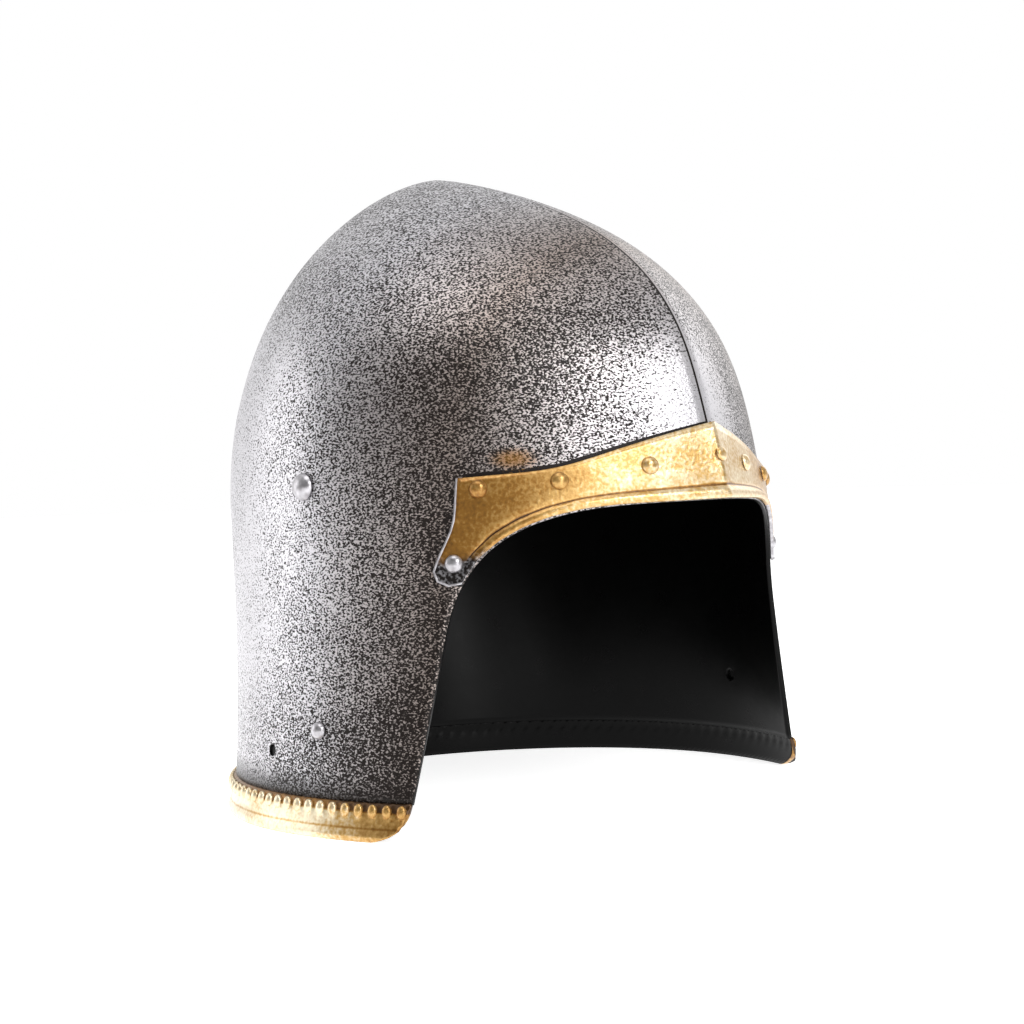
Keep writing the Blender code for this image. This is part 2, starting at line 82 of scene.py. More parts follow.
# A bead stands out past its neighbours by more than this
BEAD_RISE = 0.6 * MM

# How far the border's top edge reaches up over the wall's foot
BORDER_TUCK = 0.6 * MM

# Folds past these angles stay sharp when a piece is smoothed
SHELL_FOLD = math.radians(55)
BAND_FOLD = math.radians(40)
RIM_FOLD = math.radians(60)
KEEL_CREASE = 0.75

# A fold of this angle counts as a full hollow
DEEP_FOLD = math.radians(14)

# Corners nearer than this are one corner, and points nearer than the second lie on one level
MERGE_DISTANCE = 0.005 * MM
LEVEL_REACH = 0.05 * MM
KEEL_REACH = 0.01 * MM

# A face looks outwards, or lies edge-on, where its normal's share of the outward direction passes these
OUTSIDE_SHARE = 0.35
EDGE_ON_SHARE = 0.75

# How a bead sits: the share of its depth that is sunk, and its lean upwards
BEAD_SINK = 0.7
BEAD_LEAN = 0.15

# The lights point at this height, and the floor reaches this far
LIGHT_TARGET_Z = 120.0 * MM
FLOOR_REACH = 8.0

# Where the paint changes on the silver skull, in metres
# The cheek's edge stands at this y: the paint is darker beside it as painted shade, and paler away from it as
# painted light
CHEEK_LINE = -62.0 * MM
# The brow's painted highlight: its middle, and the reach over which it fades out
BROW_HIGHLIGHT_MIDDLE = (0.0, -112.0 * MM, 156.0 * MM)
BROW_HIGHLIGHT_REACH = (6.0 * MM, 40.0 * MM)
# Painted shade and light on the silver: its reach from the cheek's edge, the low heights that are darker, and
# the crown where it stops
SILVER_LIGHT_AND_SHADE_REACH = (0.0, 95.0 * MM)
LOW_SHADE_HEIGHTS = (20.0 * MM, 80.0 * MM)
CROWN_HEIGHTS = (165.0 * MM, 225.0 * MM)
# Reach of the darker, warmer silver by the cheek's edge, which is partly painted shade
WARM_SHADE_REACH = (0.0, 48.0 * MM)
STRIP_HEIGHTS = (15.0 * MM, 24.0 * MM)
KEEL_HALF_WIDTH = 0.5 * MM
KEEL_SHADE_X = -0.9 * MM
KEEL_SHADE_HALF_WIDTH = 0.4 * MM
KEEL_BACK_Y = 20.0 * MM
BARE_LINE_HALF_WIDTH = 1.6 * MM
BARE_LINE_END_GAP = 1.2 * MM
SMUDGE_PLACE = (-70.0 * MM, -81.0 * MM, 137.2 * MM)
SMUDGE_FLATNESS = 2.2
SMUDGE_FADE = 7.0 * MM
SMUDGE_RAGGEDNESS = 22.0 * MM

# Where the gold changes
# The gold's painted highlight and shade: from the cheek's edge out to this distance
GOLD_LIGHT_REACH = (0.0, 52.0 * MM)
GOLD_FADE_HEIGHTS = (93.0 * MM, 97.0 * MM)
GOLD_FADE_RAGGEDNESS = 14.0 * MM
BORDER_CLEARANCE_Z = 60.0 * MM


def linear(hex_colour):
    """Linear RGBA of an sRGB hex colour."""
    channels = [int(hex_colour[i:i + 2], 16) / 255 for i in (1, 3, 5)]
    return [c / 12.92 if c <= 0.04045 else ((c + 0.055) / 1.055) ** 2.4 for c in channels] + [1.0]


def grey(value):
    """A grey colour stop."""
    return (value, value, value, 1.0)


def new_material(name):
    """An empty Principled material with its tree, shader and Object coordinates."""
    material = bpy.data.materials.new(name)
    material.use_nodes = True
    tree = material.node_tree
    shader = tree.nodes["Principled BSDF"]
    place = add_node(tree, "ShaderNodeTexCoord").outputs["Object"]
    return material, tree, shader, place


def add_node(tree, kind, inputs=None, stops=None, **settings):
    """A shader node with its settings, its links or values, and its colour stops."""
    node = tree.nodes.new(kind)
    for name, value in settings.items():
        setattr(node, name, value)
    for key, value in (inputs or {}).items():
        if isinstance(value, bpy.types.NodeSocket):
            tree.links.new(value, node.inputs[key])
        else:
            node.inputs[key].default_value = value
    if stops:
        elements = node.color_ramp.elements
        while len(elements) < len(stops):
            elements.new(1.0)
        for element, (position, colour) in zip(elements, stops):
            element.position = position
            element.color = colour
    return node


def maths(tree, operation, *values):
    """The result of a Math node on links or numbers."""
    return add_node(tree, "ShaderNodeMath", dict(enumerate(values)), operation=operation).outputs[0]


def map_range(tree, value, start, end, smooth=False):
    """A value carried from one range to another."""
    return add_node(
        tree, "ShaderNodeMapRange",
        {"Value": value, "From Min": start[0], "From Max": start[1], "To Min": end[0], "To Max": end[1]},
        interpolation_type="SMOOTHSTEP" if smooth else "LINEAR",
    ).outputs["Result"]


def noise(tree, place, size, detail):
    """A noise with features of one size."""
    return add_node(
        tree, "ShaderNodeTexNoise", {"Vector": place, "Scale": 1 / size, "Detail": detail, "Roughness": 0.5}
    ).outputs["Fac"]


def flattened(tree, place, share):
    """Coordinates whose heights are stretched, so that a pattern on them lies flat."""
    return add_node(
        tree, "ShaderNodeMapping", {"Vector": place, "Scale": (1.0, 1.0, share)}
    ).outputs["Vector"]


def distance(tree, place, point):
    """How far a place is from a point."""
    return add_node(tree, "ShaderNodeVectorMath", {0: place, 1: point}, operation="DISTANCE").outputs["Value"]


def ramp(tree, value, stops):
    """The colour of a value on a ramp."""
    return add_node(tree, "ShaderNodeValToRGB", {"Fac": value}, stops=stops).outputs["Color"]


def mix(tree, share, first, second):
    """Two colours mixed by a share of the second."""
    return add_node(
        tree, "ShaderNodeMix", {"Factor": share, 6: first, 7: second}, data_type="RGBA"
    ).outputs[2]


def relief(tree, height, strength, depth):
    """The normal of a fine relief."""
    return add_node(
        tree, "ShaderNodeBump", {"Strength": strength, "Distance": depth, "Height": height}
    ).outputs["Normal"]


def cheek_distance(tree, axes):
    """How far a place lies from the cheek's edge, along y."""
    return maths(tree, "ABSOLUTE", maths(tree, "SUBTRACT", axes.outputs["Y"], CHEEK_LINE))


def silver_shift_for_painted_light(tree, axes, to_edge):
    """How much height the silver loses, as painted shade and light: most beside the cheek's edge and low down,
    less than none towards the back, none on the crown.
    """
    by_edge = map_range(tree, to_edge, SILVER_LIGHT_AND_SHADE_REACH, (0.075, -0.10))
    low = map_range(tree, axes.outputs["Z"], LOW_SHADE_HEIGHTS, (0.045, 0.0), smooth=True)
    below_crown = map_range(tree, axes.outputs["Z"], CROWN_HEIGHTS, (1.0, 0.0), smooth=True)
    return maths(tree, "MULTIPLY", maths(tree, "ADD", by_edge, low), below_crown)


def keel_lines(tree, axes):
    """The worn keel: a bright line on its edge and a dark one beside it on the wearer's right."""
    ahead = maths(tree, "LESS_THAN", axes.outputs["Y"], KEEL_BACK_Y)
    bright = maths(tree, "COMPARE", axes.outputs["X"], 0.0, KEEL_HALF_WIDTH)
    dark = maths(tree, "COMPARE", axes.outputs["X"], KEEL_SHADE_X, KEEL_SHADE_HALF_WIDTH)
    return maths(tree, "MULTIPLY", bright, ahead), maths(tree, "MULTIPLY", dark, ahead)


def bare_line(tree, axes):
    """The line that the paint leaves bare over the band's top edge."""
    line = [(y * MM, z * MM) for y, z in BAND_TOP_LINE]
    start, end = line[0][0], line[-1][0]
    top = SHELL_BOX[1][2]
    along = map_range(tree, axes.outputs["Y"], (start, end), WHOLE)
    edge = ramp(tree, along, [((y - start) / (end - start), grey(z / top)) for y, z in line])
    above = maths(tree, "MULTIPLY_ADD", edge, -top, axes.outputs["Z"])
    bare = maths(tree, "COMPARE", above, 0.0, BARE_LINE_HALF_WIDTH)
    before_end = maths(tree, "LESS_THAN", axes.outputs["Y"], end - BARE_LINE_END_GAP)
    return maths(tree, "MULTIPLY", bare, before_end)


def gold_smudge(tree, place, height):
    """How much of the band's gold lies smudged over its top edge on the wearer's right."""
    x, y, z = SMUDGE_PLACE
    to_smudge = distance(tree, flattened(tree, place, SMUDGE_FLATNESS), (x, y, z * SMUDGE_FLATNESS))
    sprayed = maths(tree, "MULTIPLY_ADD", height, -SMUDGE_RAGGEDNESS, to_smudge)
    return map_range(tree, sprayed, (-SMUDGE_FADE, 0.0), (0.75, 0.0))


def rubbed_silver(props):
    """Silver paint rubbed over black PVC with a crackled, hammered skin.

    The paint keeps to the raised skin, so a light network with a satin metal shine stands over
    brownish-black hollows.
    """
    # The paint's coverage also carries a painted highlight on the brow, painted shade by the cheek's edge and
    # low down, and painted light towards the back
    material, tree, shader, place = new_material("silver_paint_rubbed_over_black_pvc")
    axes = add_node(tree, "ShaderNodeSeparateXYZ", {"Vector": place})
    to_edge = cheek_distance(tree, axes)
    grain = noise(tree, flattened(tree, place, 1.5), props.grain_size, 2.2)
    cloud = noise(tree, place, props.silver_cloud_size, 2.0)
    height = maths(tree, "ADD", grain, maths(tree, "MULTIPLY_ADD", cloud, 0.12, -0.06))

    # More silver on the brow each side of the keel, as a painted highlight
    painted_brow_highlight = map_range(tree, distance(tree, place, BROW_HIGHLIGHT_MIDDLE), BROW_HIGHLIGHT_REACH, (0.15, 0.0), smooth=True)
    height = maths(tree, "ADD", height, painted_brow_highlight)
    # Less silver by the cheek's edge and low down, painted shade; more towards the back, painted light
    height = maths(tree, "SUBTRACT", height, silver_shift_for_painted_light(tree, axes, to_edge))
    paint = map_range(tree, height, (0.42, 0.58), WHOLE, smooth=True)

    # Little paint holds on the smooth strip over the beads, and none on the bare lines
    on_keel, beside_keel = keel_lines(tree, axes)
    strip = map_range(tree, axes.outputs["Z"], STRIP_HEIGHTS, (0.85, 0.0))
    hidden = maths(tree, "MAXIMUM", bare_line(tree, axes), beside_keel)
    hidden = maths(tree, "MAXIMUM", hidden, strip)
    paint = maths(tree, "MULTIPLY", paint, maths(tree, "SUBTRACT", 1.0, hidden))
    paint = maths(tree, "MAXIMUM", paint, on_keel)

    # Darker, warmer silver towards the cheek's edge: partly painted shade
    warmth_and_shade = map_range(tree, to_edge, WARM_SHADE_REACH, (1.0, 0.0))
    silver_paint = mix(tree, warmth_and_shade, linear(props.silver_colour), linear(props.warm_shaded_silver_colour))
    colour = mix(tree, paint, linear(props.plastic_colour), silver_paint)
    colour = mix(tree, gold_smudge(tree, place, height), colour, linear(props.deep_gold_colour))
    tree.links.new(colour, shader.inputs["Base Color"])
    tree.links.new(maths(tree, "MULTIPLY", paint, 0.85), shader.inputs["Metallic"])
    tree.links.new(map_range(tree, paint, WHOLE, (0.42, 0.36)), shader.inputs["Roughness"])
    tree.links.new(relief(tree, grain, 0.35, 0.4 * MM), shader.inputs["Normal"])
    shader.inputs["Specular IOR Level"].default_value = 0.2
    return material


def antique_gold(props, name, thickness):
    """Gold paint sprayed over the same moulded skin and wiped.

    It lies bright on the raised skin and stays brown in the hollows, with a satin shine.
    """
    material, tree, shader, place = new_material(name)
    axes = add_node(tree, "ShaderNodeSeparateXYZ", {"Vector": place})
    grain = noise(tree, place, 1.4 * props.grain_size, 1.5)
    cloud = noise(tree, place, props.gold_cloud_size, 2.0)
    height = maths(tree, "MULTIPLY_ADD", cloud, 0.30, thickness + 0.13)
    height = maths(tree, "MULTIPLY_ADD", grain, 0.36, height)

    # It is painted paler the further it is from the cheek's edge: a painted highlight towards the keel and
    # painted shade by the edge
    painted_light_on_gold = map_range(tree, cheek_distance(tree, axes), GOLD_LIGHT_REACH, (-0.15, 0.09), smooth=True)
    height = maths(tree, "ADD", height, painted_light_on_gold)
    hollow = add_node(tree, "ShaderNodeAttribute", attribute_name="hollow").outputs["Fac"]
    height = maths(tree, "SUBTRACT", height, map_range(tree, hollow, (0.60, 0.95), (0.0, 0.42)))
    colour = ramp(tree, height, [
        (0.10, linear(props.brown_colour)),
        (0.36, linear(props.deep_gold_colour)),
        (0.52, linear(props.gold_colour)),
        (0.72, linear(props.pale_gold_and_highlight_colour)),
    ])

    # The gold fades out over the ends of the brow band, and dark rubbed silver goes on below it
    fade = maths(tree, "MULTIPLY_ADD", cloud, -GOLD_FADE_RAGGEDNESS, axes.outputs["Z"])
    faded = map_range(tree, fade, GOLD_FADE_HEIGHTS, (1.0, 0.0), smooth=True)
    over_border = maths(tree, "GREATER_THAN", axes.outputs["Z"], BORDER_CLEARANCE_Z)
    rubbed = ramp(tree, grain, [(0.46, linear(props.plastic_colour)), (0.95, linear(props.silver_colour))])
    colour = mix(tree, maths(tree, "MULTIPLY", faded, over_border), colour, rubbed)
    tree.links.new(colour, shader.inputs["Base Color"])
    tree.links.new(relief(tree, grain, 0.3, 0.35 * MM), shader.inputs["Normal"])
    shader.inputs["Metallic"].default_value = 0.7
    shader.inputs["Roughness"].default_value = 0.34
    shader.inputs["Coat Weight"].default_value = 0.4
    shader.inputs["Coat Roughness"].default_value = 0.25
    return material


def bare_pvc(props):
    """Black PVC as moulded: the inside and the cut edges, smooth with a soft semi-gloss."""
    material, tree, shader, place = new_material("black_pvc_as_moulded")
    flow = noise(tree, place, 12 * MM, 2.0)
    shader.inputs["Base Color"].default_value = linear(props.inside_colour)
    shader.inputs["Specular IOR Level"].default_value = 0.12
    tree.links.new(map_range(tree, flow, WHOLE, (0.24, 0.34)), shader.inputs["Roughness"])
    tree.links.new(relief(tree, flow, 0.15, 0.3 * MM), shader.inputs["Normal"])
    return material


def worn_silver(props):
    """The same silver paint, wiped thick over rivet heads and edges: nearly closed and brighter."""
    material, tree, shader, place = new_material("silver_paint_thick_on_pvc")
    grain = noise(tree, place, 2.5 * props.grain_size, 1.0)
    colour = ramp(tree, grain, [(0.30, linear(props.worn_colour)), (0.80, linear(props.silver_colour))])
    tree.links.new(colour, shader.inputs["Base Color"])
    shader.inputs["Metallic"].default_value = 0.8
    shader.inputs["Roughness"].default_value = 0.3
    return material


def finish_named(name, maker, *settings):
    """A finish made once and shared by the pieces that carry it."""
    return bpy.data.materials.get(name) or maker(bpy.context.scene.helmet_finish, *settings)


def silver():
    """The skull's rubbed silver."""
    return finish_named("silver_paint_rubbed_over_black_pvc", rubbed_silver)


def gold():
    """The band's gold."""
    name = "antique_gold_paint_on_pvc"
    return finish_named(name, antique_gold, name, 0.03)


def thick_gold():
    """The border's gold, which lies thicker and paler."""
    name = "thick_antique_gold_paint_on_pvc"
    return finish_named(name, antique_gold, name, 0.13)


def black():
    """The bare plastic."""
    return finish_named("black_pvc_as_moulded", bare_pvc)


def bright_silver():
    """The thick silver of rivet heads and edges."""
    return finish_named("silver_paint_thick_on_pvc", worn_silver)


def merged_copy(node):
    """A bmesh of a CAD node with its loose triangles merged and joined to quads."""
    bm = bmesh.new()
    bm.from_mesh(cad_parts[node].data)
    bmesh.ops.remove_doubles(bm, verts=bm.verts, dist=MERGE_DISTANCE)
    bmesh.ops.join_triangles(
        bm, faces=bm.faces, cmp_seam=False, cmp_sharp=False, cmp_uvs=False, cmp_vcols=False,
        cmp_materials=False, angle_face_threshold=math.radians(12), angle_shape_threshold=math.radians(50),
    )
    return bm


def crease_edges(bm, sharp_angle, on_line=None):
    """Full creases on edges past an angle, and on the edges that a test picks."""
    crease = bm.edges.layers.float.get("crease_edge") or bm.edges.layers.float.new("crease_edge")
    for edge in bm.edges:
        if edge.calc_face_angle(0.0) > sharp_angle:
            edge[crease] = 1.0
        elif on_line:
            edge[crease] = on_line(edge)


def mark_hollows(bm):
    """A point attribute that is 1 where the surface folds inwards, as in a groove."""
    hollow = bm.verts.layers.float.new("hollow")
    for vert in bm.verts:
        folds = [edge.calc_face_angle_signed(0.0) for edge in vert.link_edges]
        vert[hollow] = min(1.0, max(0.0, -min(folds)) / DEEP_FOLD)


def finish_piece(bm, name, node, materials, levels):
    """A piece that stands for a CAD node, smoothed and riding on the helmet."""
    mesh = bpy.data.meshes.new(name)
    bm.to_mesh(mesh)
    bm.free()
    mesh.shade_smooth()
    piece = bpy.data.objects.new(name, mesh)
    bpy.context.scene.collection.objects.link(piece)
    for material in materials:
        mesh.materials.append(material)
    if levels:
        rounding = piece.modifiers.new("rounding", "SUBSURF")
        rounding.levels = levels
        rounding.render_levels = levels
    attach(piece, BODY)
    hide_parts(node)
    return piece


class HelmetFinish(bpy.types.PropertyGroup):
    """Colours and sizes of the helmet's paint and relief."""

    silver_colour: bpy.props.StringProperty(
        name="Silver", description="Silver paint on the raised skin, sRGB hex", default="#D2D0D4")
    plastic_colour: bpy.props.StringProperty(
        name="Hollows", description="Dark plastic between the paint, sRGB hex", default="#150E0B")
    # This darker silver by the face is partly painted shade
    warm_shaded_silver_colour: bpy.props.StringProperty(
        name="Warm silver", description="Silver paint where it lies thin towards the face, sRGB hex",
        default="#A99C95")
    worn_colour: bpy.props.StringProperty(
        name="Thin silver", description="Silver paint where it lies thin on the rivets, sRGB hex",
        default="#9A979A")
    inside_colour: bpy.props.StringProperty(
        name="Inside", description="Bare black plastic, sRGB hex", default="#030303")
    gold_colour: bpy.props.StringProperty(
        name="Gold", description="Gold paint, sRGB hex", default="#C79F5C")
    # The pale gold also paints the highlight towards the keel
    pale_gold_and_highlight_colour: bpy.props.StringProperty(
        name="Pale gold", description="Gold paint where it lies thick, sRGB hex", default="#F2E5C6")
    deep_gold_colour: bpy.props.StringProperty(
        name="Deep gold", description="Gold paint where it lies thin, sRGB hex", default="#9A6B28")
    brown_colour: bpy.props.StringProperty(
        name="Brown", description="Brown wash in the grooves, sRGB hex", default="#4C3216")
    silver_cloud_size: bpy.props.FloatProperty(
        name="Silver clouds", description="Size of the denser and thinner patches of silver",
        default=26 * MM, min=1 * MM, unit="LENGTH")
    gold_cloud_size: bpy.props.FloatProperty(
        name="Gold clouds", description="Size of the denser and thinner patches of gold",
        default=14 * MM, min=1 * MM, unit="LENGTH")
    grain_size: bpy.props.FloatProperty(
        name="Grain", description="Size of one grain of the hammered skin",
        default=0.95 * MM, min=0.2 * MM, unit="LENGTH")
    mark_radius: bpy.props.FloatProperty(
        name="Mark radius", description="Reach of the bare plastic in the cord marks",
        default=2.3 * MM, min=0.5 * MM, unit="LENGTH")
    # The bright raised edge paints the highlight along the band's back corner
    edge_width: bpy.props.FloatProperty(
        name="Edge width", description="Width of the bright raised edge behind the band",
        default=0.9 * MM, min=0.1 * MM, unit="LENGTH")
    bead_width: bpy.props.FloatProperty(
        name="Bead width", description="Width of one bead of the border",
        default=4.2 * MM, min=1 * MM, unit="LENGTH")
    bead_height: bpy.props.FloatProperty(
        name="Bead height", description="Height of one bead of the border",
        default=5.6 * MM, min=1 * MM, unit="LENGTH")
    bead_depth: bpy.props.FloatProperty(
        name="Bead depth", description="How far a bead's middle lies inside its crown",
        default=1.5 * MM, min=0.2 * MM, unit="LENGTH")


class HELMET_OT_skull(bpy.types.Operator):
    """Smooth the skull, paint it silver outside and leave it black inside"""

    bl_idname = "helmet.skull"
    bl_label = "Skull"

    def execute(self, context):
        finish = context.scene.helmet_finish
        bm = merged_copy("skull_shell")

        def keel(edge):
            return KEEL_CREASE if all(abs(v.co.x) < KEEL_REACH and v.co.y < 0 for v in edge.verts) else 0.0

        crease_edges(bm, SHELL_FOLD, keel)
        mark = self.cord_mark(bm)
        for face in bm.faces:
            middle = face.calc_center_median()
            outward = Vector((middle.x, middle.y, max(0.0, middle.z - DOME_START))).normalized()
            outside = face.normal.dot(outward) > OUTSIDE_SHARE
            in_mark = math.dist(middle.yz, mark) < finish.mark_radius
            face.material_index = 0 if outside and not in_mark else 1
        finish_piece(bm, "painted_skull", "skull_shell", [silver(), black()], 2)
        return {"FINISHED"}

    def cord_mark(self, bm):
        """Middle of the round mark low on each side, as (y, z), from the sharp edges of its rim."""
        rim = [
            edge.verts[0].co for edge in bm.edges
            if edge.calc_face_angle(0.0) > SHELL_FOLD
            and MARK_ZONE[0][0] < edge.verts[0].co.y < MARK_ZONE[0][1]
            and MARK_ZONE[1][0] < edge.verts[0].co.z < MARK_ZONE[1][1]
        ]
        middle = sum(rim, Vector()) / len(rim)
        return middle.yz


def rear_edges(bm):
    """The outer corner of the band's back edge and of its end, as a run of points down each side."""
    chains = {}
    for side, sign in (("left", 1), ("right", -1)):
        corner = []
        for edge in bm.edges:
            middle = (edge.verts[0].co + edge.verts[1].co) / 2
            if middle.x * sign < 0 or middle.y < BAND_END_ZONE[0] or middle.z > BAND_END_ZONE[1]:
                continue
            if edge.calc_face_angle(0.0) < BAND_FOLD:
                continue
            outward = Vector((middle.x, middle.y, 0.0)).normalized()
            if any(face.normal.dot(outward) > EDGE_ON_SHARE for face in edge.link_faces):
                corner += [vert.co.copy() for vert in edge.verts]
        chains[side] = walk_down(corner, 0.2 * MM)
    return chains


def walk_down(points, least):
    """The points in order along their line, from the highest, without repeats nearer than a distance."""
    left = list(points)
    chain = [max(left, key=lambda co: co.z)]
    while left:
        nearest = min(left, key=lambda co: (co - chain[-1]).length)
        left.remove(nearest)
        if (nearest - chain[-1]).length > least:
            chain.append(nearest)
    return chain


def highlight_edge(points, name, width):
    """A fine raised edge along a run of points, in thick bright silver: a painted highlight along the band's
    back corner.
    """
    curve = bpy.data.curves.new(name, "CURVE")
    curve.dimensions = "3D"
    curve.bevel_depth = width / 2
    curve.bevel_resolution = 2
    curve.use_fill_caps = True
    spline = curve.splines.new("POLY")
    spline.points.add(len(points) - 1)
    for spot, point in zip(spline.points, points):
        spot.co = (*point, 1.0)
    curve.materials.append(bright_silver())
    edge = bpy.data.objects.new(name, curve)
    bpy.context.scene.collection.objects.link(edge)
    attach(edge, BODY)
    return edge


class HELMET_OT_band(bpy.types.Operator):
    """Smooth the brow band, gild its face and leave its edges silver and dark"""

    bl_idname = "helmet.band"
    bl_label = "Brow band"

    def execute(self, context):
        bm = merged_copy("brow_band")
        mark_hollows(bm)
        crease_edges(bm, BAND_FOLD)
        for face in bm.faces:
            normal = face.normal
            middle = face.calc_center_median()
            outward = Vector((middle.x, middle.y, 0.0)).normalized()
            behind = normal.y > 0.5 or normal.z < -0.3 and middle.y > BAND_FOOT_Y
            if behind and abs(normal.dot(outward)) < EDGE_ON_SHARE:
                face.material_index = 1
            elif normal.dot(outward) < -0.3:
                face.material_index = 2
        edges = rear_edges(bm)
        finish_piece(
            bm, "gilded_brow_band", "brow_band", [gold(), bright_silver(), black()], 2)
        # Fine bright edges that paint the highlight along the band's back corners
        for side, chain in edges.items():
            highlight_edge(chain, "band_edge_" + side, context.scene.helmet_finish.edge_width)
        return {"FINISHED"}


def bead_crowns(bm):
    """Places on the border's bead row that stand out past both neighbours, with their outward normals."""
    row_z = BORDER_BOX[1][2] * BEAD_ROW_SHARE
    row = [
        v for v in bm.verts
        if abs(v.co.z - row_z) < LEVEL_REACH and v.normal.x * v.co.x + v.normal.y * v.co.y > 0
    ]
    row.sort(key=lambda v: math.atan2(v.co.x, v.co.y))
    crowns = []
    for before, vert, after in zip(row, row[1:], row[2:]):
        chord = (before.co + after.co) / 2
        if (vert.co - chord).dot(vert.normal) > BEAD_RISE:
            crowns.append((vert.co.copy(), vert.normal.copy(), (after.co - before.co).normalized()))
    return crowns


class HELMET_OT_border(bpy.types.Operator):
    """Smooth the lower border, gild it and set its row of beads"""

    bl_idname = "helmet.border"
    bl_label = "Lower border"

    def execute(self, context):
        finish = context.scene.helmet_finish
        bm = merged_copy("lower_border")
        bm.normal_update()
        crowns = bead_crowns(bm)
        gap = bm.verts.layers.float.new("hollow")
        for vert in bm.verts:
            share = vert.co.z / BORDER_BOX[1][2]
            in_groove = GROOVE_SHARES[0] < share < GROOVE_SHARES[1]
            vert[gap] = 1.0 if share > GAP_SHARE else 0.75 if in_groove else 0.0
        crease_edges(bm, RIM_FOLD)
        top = BORDER_BOX[1][2]
        for vert in bm.verts:
            if vert.co.z > top - LEVEL_REACH:
                vert.co.z = SHELL_BOX[0][2] + BORDER_TUCK
        for face in bm.faces:
            middle = face.calc_center_median()
            outward = Vector((middle.x, middle.y, 0.0)).normalized()
            face.material_index = 1 if face.normal.dot(outward) < -0.2 else 0
        finish_piece(bm, "gilded_border", "lower_border", [thick_gold(), black()], 1)
        beads = bmesh.new()
        for crown, normal, along in crowns:
            out = Vector((normal.x, normal.y, BEAD_LEAN)).normalized()
            up = out.cross(along).normalized()
            if up.z < 0:
                up = -up
            side = up.cross(out)
            turn = Matrix((side, up, out)).transposed().to_4x4()
            size = Matrix.Diagonal((finish.bead_width / 2, finish.bead_height / 2, finish.bead_depth, 1))
            place = Matrix.Translation(crown - out * finish.bead_depth * BEAD_SINK)
            bmesh.ops.create_icosphere(beads, subdivisions=2, radius=1.0, matrix=place @ turn @ size)
        finish_piece(beads, "border_beads", "lower_border", [thick_gold()], 1)
        return {"FINISHED"}


class HELMET_OT_rivets(bpy.types.Operator):
    """Smooth every rivet head, and paint it gold on the band and silver on its ends and on the wall"""

    bl_idname = "helmet.rivets"
    bl_label = "Rivets"

    def execute(self, context):
        for node in BROW_RIVETS + SIDE_RIVETS:
            bm = merged_copy(node)
            crease_edges(bm, RIM_FOLD)
            gilded = node in BROW_RIVETS and "_end_" not in node
            finish_piece(
                bm, "painted_" + node, node,
                [gold() if gilded else bright_silver()], 2)
        return {"FINISHED"}


class HelmetStage(bpy.types.PropertyGroup):
    """Camera and light."""

    azimuth: bpy.props.FloatProperty(
        name="Azimuth", description="Direction of view from straight ahead",
        default=math.radians(42.0), subtype="ANGLE")
    dip: bpy.props.FloatProperty(
        name="Dip", description="How far the camera looks down", default=math.radians(1.073), subtype="ANGLE")
    roll: bpy.props.FloatProperty(
        name="Roll", description="Clockwise roll of the camera", default=math.radians(1.856), subtype="ANGLE")
    distance: bpy.props.FloatProperty(
        name="Distance", description="Camera to the aim point", default=0.8104, unit="LENGTH")
    aim_height: bpy.props.FloatProperty(
        name="Aim height", description="Height of the aim point", default=0.1158, unit="LENGTH")
    aim_setback: bpy.props.FloatProperty(
        name="Aim setback", description="Y of the aim point", default=-0.0016, unit="LENGTH")
    lens: bpy.props.FloatProperty(
        name="Lens", description="Focal length in millimetres", default=68.19, min=10)
    floor_colour: bpy.props.StringProperty(
        name="Floor", description="Pale studio floor, sRGB hex", default="#F4F4F4")


def build_camera(stage):
    """The camera at the photograph's angle."""
    camera = bpy.data.objects.new("camera", bpy.data.cameras.new("camera"))
    bpy.context.scene.collection.objects.link(camera)
    level = math.cos(stage.dip)
    look = Vector((math.sin(stage.azimuth) * level, math.cos(stage.azimuth) * level, -math.sin(stage.dip)))
    aim = Vector((0.0, stage.aim_setback, stage.aim_height))
    turn = look.to_track_quat("-Z", "Y").to_matrix().to_4x4()
    place = Matrix.Translation(aim - look * stage.distance)
    camera.matrix_world = place @ turn @ Matrix.Rotation(-stage.roll, 4, "Z")
    camera.data.lens = stage.lens
    camera.data.sensor_width = 36.0
    bpy.context.scene.camera = camera


def build_lights():
    """Large soft lights that leave the wearer's right side a little darker than the brow."""
    # Name, direction and height in degrees, distance and size in metres, power in watts
    lights = [
        ("key", 258, 34, 1.5, 0.5, 7.5),
        ("low_key", 254, 8, 1.5, 0.6, 3.0),
        ("top", 215, 72, 1.6, 1.1, 7.0),
        ("back_left", 126, 12, 1.6, 0.9, 3.0),
        ("back_right", 15, 25, 1.8, 1.0, 3.0),
    ]
    target = Vector((0.0, 0.0, LIGHT_TARGET_Z))
    for name, compass, height, reach, size, watts in lights:
        data = bpy.data.lights.new(name, "AREA")
        data.shape = "DISK"
        data.size = size
        data.energy = watts
        lamp = bpy.data.objects.new(name, data)
        bpy.context.scene.collection.objects.link(lamp)
        level = math.cos(math.radians(height))
        away = Vector((
            math.cos(math.radians(compass)) * level,
            math.sin(math.radians(compass)) * level,
            math.sin(math.radians(height)),
        ))
        turn = (-away).to_track_quat("-Z", "Y").to_matrix().to_4x4()
        lamp.matrix_world = Matrix.Translation(target + away * reach) @ turn


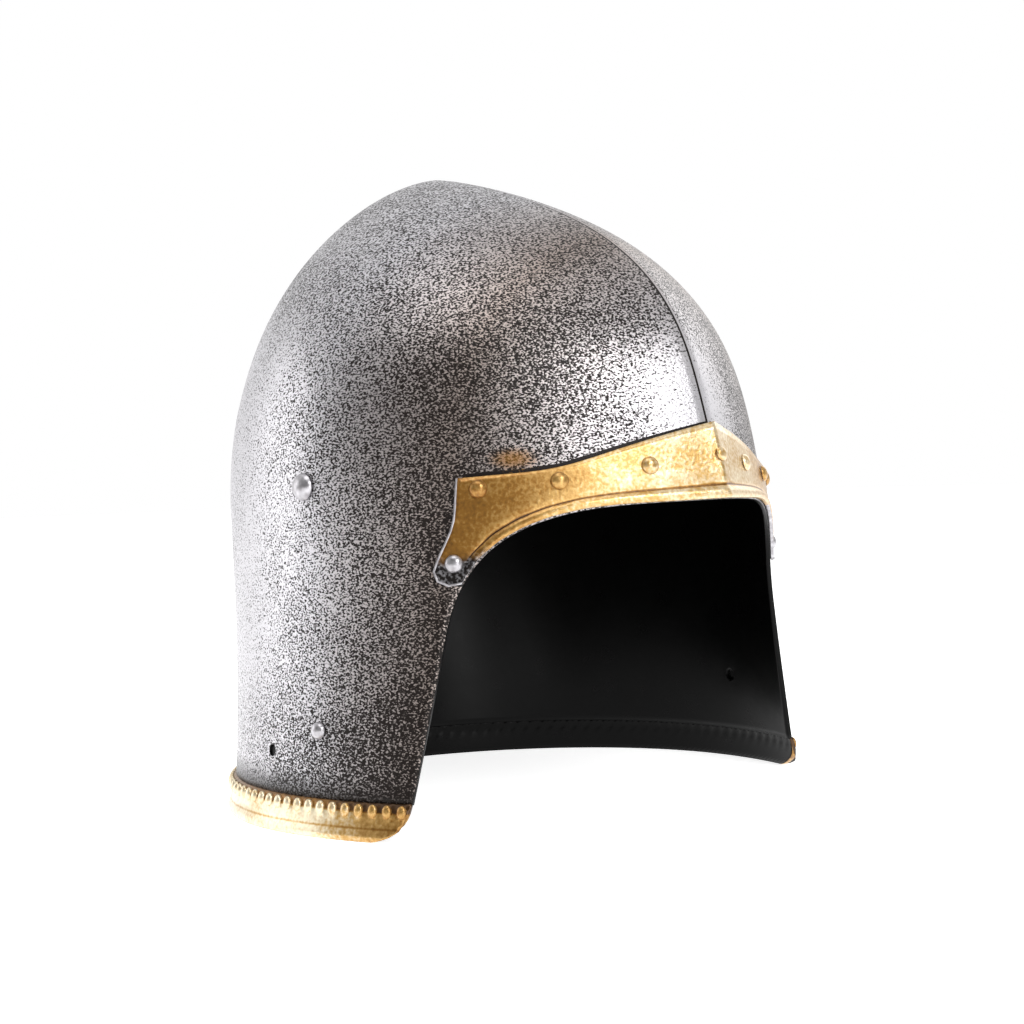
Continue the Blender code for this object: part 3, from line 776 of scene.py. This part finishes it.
def build_world():
    """A white studio that is greyer on the side that the camera stands on."""
    world = bpy.data.worlds.new("studio")
    bpy.context.scene.world = world
    world.use_nodes = True
    tree = world.node_tree
    background = tree.nodes["Background"]
    way = add_node(tree, "ShaderNodeTexCoord").outputs["Generated"]
    across = add_node(
        tree, "ShaderNodeVectorMath", {0: way, 1: (0.60, 0.80, 0.15)}, operation="DOT_PRODUCT"
    ).outputs["Value"]
    share = map_range(tree, across, (-1.0, 1.0), WHOLE)
    stops = [(0.28, grey(0.13)), (0.60, grey(0.80)), (0.85, grey(0.85)), (0.92, grey(1.0))]
    tree.links.new(ramp(tree, share, stops), background.inputs["Color"])
    background.inputs["Strength"].default_value = 1.0


class HELMET_OT_stage(bpy.types.Operator):
    """Lay the floor and set the studio light and the camera"""

    bl_idname = "helmet.stage"
    bl_label = "Stage"

    def execute(self, context):
        stage = context.scene.helmet_stage
        bm = bmesh.new()
        bmesh.ops.create_grid(bm, x_segments=1, y_segments=1, size=FLOOR_REACH)
        mesh = bpy.data.meshes.new("studio_floor")
        bm.to_mesh(mesh)
        bm.free()
        floor = bpy.data.objects.new("studio_floor", mesh)
        context.scene.collection.objects.link(floor)
        material, tree, shader, place = new_material("matt_white_studio_floor")
        shader.inputs["Base Color"].default_value = linear(stage.floor_colour)
        shader.inputs["Roughness"].default_value = 0.9
        shader.inputs["Specular IOR Level"].default_value = 0.1
        shader.inputs["Emission Color"].default_value = (1.0, 1.0, 1.0, 1.0)
        shader.inputs["Emission Strength"].default_value = 0.85
        mesh.materials.append(material)
        build_camera(stage)
        build_lights()
        build_world()
        context.scene.view_settings.view_transform = "Standard"
        return {"FINISHED"}


class HELMET_PT_panel(bpy.types.Panel):
    """The helmet's pieces and its stage"""

    bl_idname = "HELMET_PT_panel"
    bl_label = "Knight's helmet"
    bl_space_type = "VIEW_3D"
    bl_region_type = "UI"
    bl_category = "Helmet"

    def draw(self, context):
        for group in (context.scene.helmet_finish, context.scene.helmet_stage):
            for name in group.__annotations__:
                self.layout.prop(group, name)
        for operator in OPERATORS:
            self.layout.operator(operator.bl_idname)


OPERATORS = (HELMET_OT_skull, HELMET_OT_band, HELMET_OT_border, HELMET_OT_rivets, HELMET_OT_stage)
CLASSES = (HelmetFinish, HelmetStage) + OPERATORS + (HELMET_PT_panel,)


def register():
    """Add the classes and the scene's settings."""
    for item in CLASSES:
        bpy.utils.register_class(item)
    bpy.types.Scene.helmet_finish = bpy.props.PointerProperty(type=HelmetFinish)
    bpy.types.Scene.helmet_stage = bpy.props.PointerProperty(type=HelmetStage)


def unregister():
    """Take the classes and the scene's settings out."""
    del bpy.types.Scene.helmet_stage
    del bpy.types.Scene.helmet_finish
    for item in reversed(CLASSES):
        bpy.utils.unregister_class(item)


def main():
    """Dress the helmet and set its stage."""
    register()
    bpy.ops.helmet.skull()
    bpy.ops.helmet.band()
    bpy.ops.helmet.border()
    bpy.ops.helmet.rivets()
    bpy.ops.helmet.stage()


if __name__ == "__main__":
    main()
